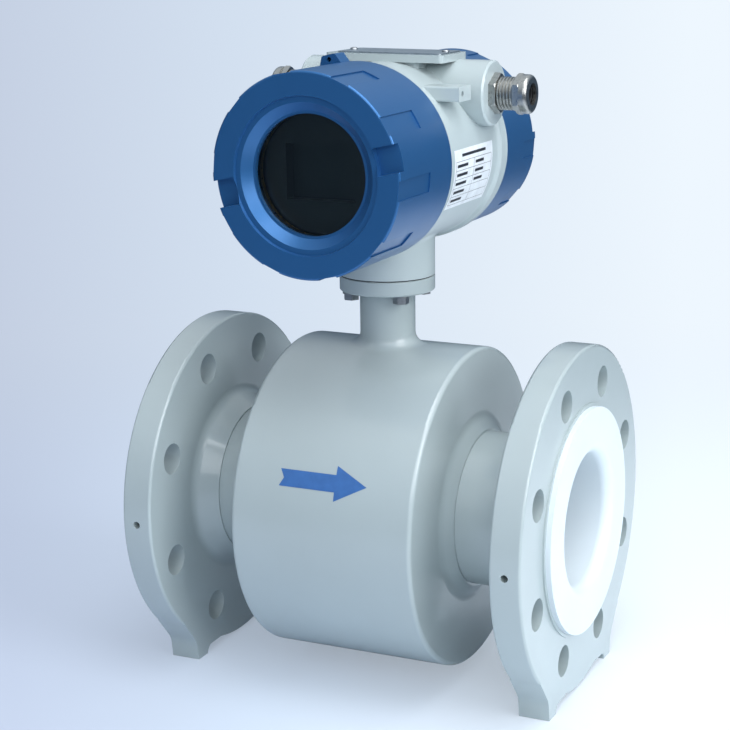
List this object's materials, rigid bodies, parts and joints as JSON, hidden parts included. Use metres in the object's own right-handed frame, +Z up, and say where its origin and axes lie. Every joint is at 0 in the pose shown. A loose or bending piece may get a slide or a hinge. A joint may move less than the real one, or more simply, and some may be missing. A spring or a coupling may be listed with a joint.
{
  "type": "electromagnetic flow meter",
  "caption": "Flanged electromagnetic flow meter with a lined tube, a drum coil housing on cast feet, and a round converter head with a window and cable glands on a neck.",
  "frame": {"origin": "centre of the measuring tube, on its axis and half way between the two sealing faces", "axes": "+X the direction of flow along the tube, -Y the side the display faces, +Z up along the neck"},
  "size_m": [0.25, 0.2007, 0.3624],
  "materials": {
    "grey_steel": "gloss paint on welded steel",
    "grey_casting": "gloss paint on die-cast aluminium",
    "blue_cover": "gloss paint on die-cast aluminium",
    "white_liner": "smooth fluoropolymer",
    "soft_iron": "plain",
    "copper_winding": "enamelled wire",
    "stainless": "plain",
    "white_bush": "plain",
    "black_rubber": "plain",
    "plate_metal": "satin",
    "black_plastic": "satin",
    "lcd": "dark, unlit",
    "circuit_board": "plain",
    "brass_part": "plain",
    "terminal_plastic": "plain",
    "window_glass": "clear toughened glass",
    "nickel": "bright nickel plate"
  },
  "bodies": {
    "meter": {"measuring_tube": "grey_steel", "liner": "white_liner", "inlet_flange": "grey_steel", "outlet_flange": "grey_steel", "coil_housing": "grey_steel", "pole_shoe_upper": "soft_iron", "pole_core_upper": "soft_iron", "coil_upper": "copper_winding", "pole_shoe_lower": "soft_iron", "pole_core_lower": "soft_iron", "coil_lower": "copper_winding", "yoke_ring": "soft_iron", "electrode_front": "stainless", "electrode_bush_front": "white_bush", "electrode_nut_front": "stainless", "electrode_rear": "stainless", "electrode_bush_rear": "white_bush", "electrode_nut_rear": "stainless", "neck_gasket": "black_rubber", "neck_bolts": "stainless", "converter_housing": "grey_casting", "top_plate": "plate_metal", "plate_screws": "stainless", "display_bezel": "black_plastic", "lcd_panel": "lcd", "display_board": "circuit_board", "main_board": "circuit_board", "display_studs": "brass_part", "board_studs": "brass_part", "power_module": "black_plastic", "terminal_block": "terminal_plastic", "terminal_screws": "stainless", "gland_body_right": "nickel", "gland_body_left": "nickel"},
    "front_ring": {"front_o_ring": "black_rubber"},
    "front_cover": {"front_cover": "blue_cover", "window_glass": "window_glass", "window_retainer": "brass_part"},
    "rear_ring": {"rear_o_ring": "black_rubber"},
    "rear_cover": {"rear_cover": "blue_cover"},
    "seal_right": {"gland_seal_right": "black_rubber"},
    "nut_right": {"gland_nut_right": "nickel"},
    "seal_left": {"gland_seal_left": "black_rubber"},
    "nut_left": {"gland_nut_left": "nickel"}
  },
  "joints": [
    {"name": "front_ring_slide", "type": "slide", "parent": "meter", "child": "front_ring", "axis": [0, -1, 0], "range_m": [0, 0.01601]},
    {"name": "front_cover_turn", "type": "hinge", "parent": "front_ring", "child": "front_cover", "pos_m": [0, -0.066, 0.202], "axis": [0, -1, 0], "range_deg": [0, 2880]},
    {"name": "rear_ring_slide", "type": "slide", "parent": "meter", "child": "rear_ring", "axis": [0, 1, 0], "range_m": [0, 0.01601]},
    {"name": "rear_cover_turn", "type": "hinge", "parent": "rear_ring", "child": "rear_cover", "pos_m": [0, 0.075, 0.202], "axis": [0, 1, 0], "range_deg": [0, 2880]},
    {"name": "seal_slide_right", "type": "slide", "parent": "meter", "child": "seal_right", "axis": [1, 0, 0], "range_m": [0, 0.0045]},
    {"name": "nut_turn_right", "type": "hinge", "parent": "seal_right", "child": "nut_right", "pos_m": [0.0754, 0.022, 0.2366], "axis": [1, 0, 0], "range_deg": [0, 1080]},
    {"name": "seal_slide_left", "type": "slide", "parent": "meter", "child": "seal_left", "axis": [-1, 0, 0], "range_m": [0, 0.0045]},
    {"name": "nut_turn_left", "type": "hinge", "parent": "seal_left", "child": "nut_left", "pos_m": [-0.0754, 0.022, 0.2366], "axis": [-1, 0, 0], "range_deg": [0, 1080]}
  ],
  "couplings": [
    {"joint": "front_ring_slide", "follows": "front_cover_turn", "m_per_rad": 0.00031831},
    {"joint": "rear_ring_slide", "follows": "rear_cover_turn", "m_per_rad": 0.00031831},
    {"joint": "nut_turn_right", "follows": "seal_slide_right", "rad_per_m": 4188.8},
    {"joint": "nut_turn_left", "follows": "seal_slide_left", "rad_per_m": 4188.8}
  ]
}
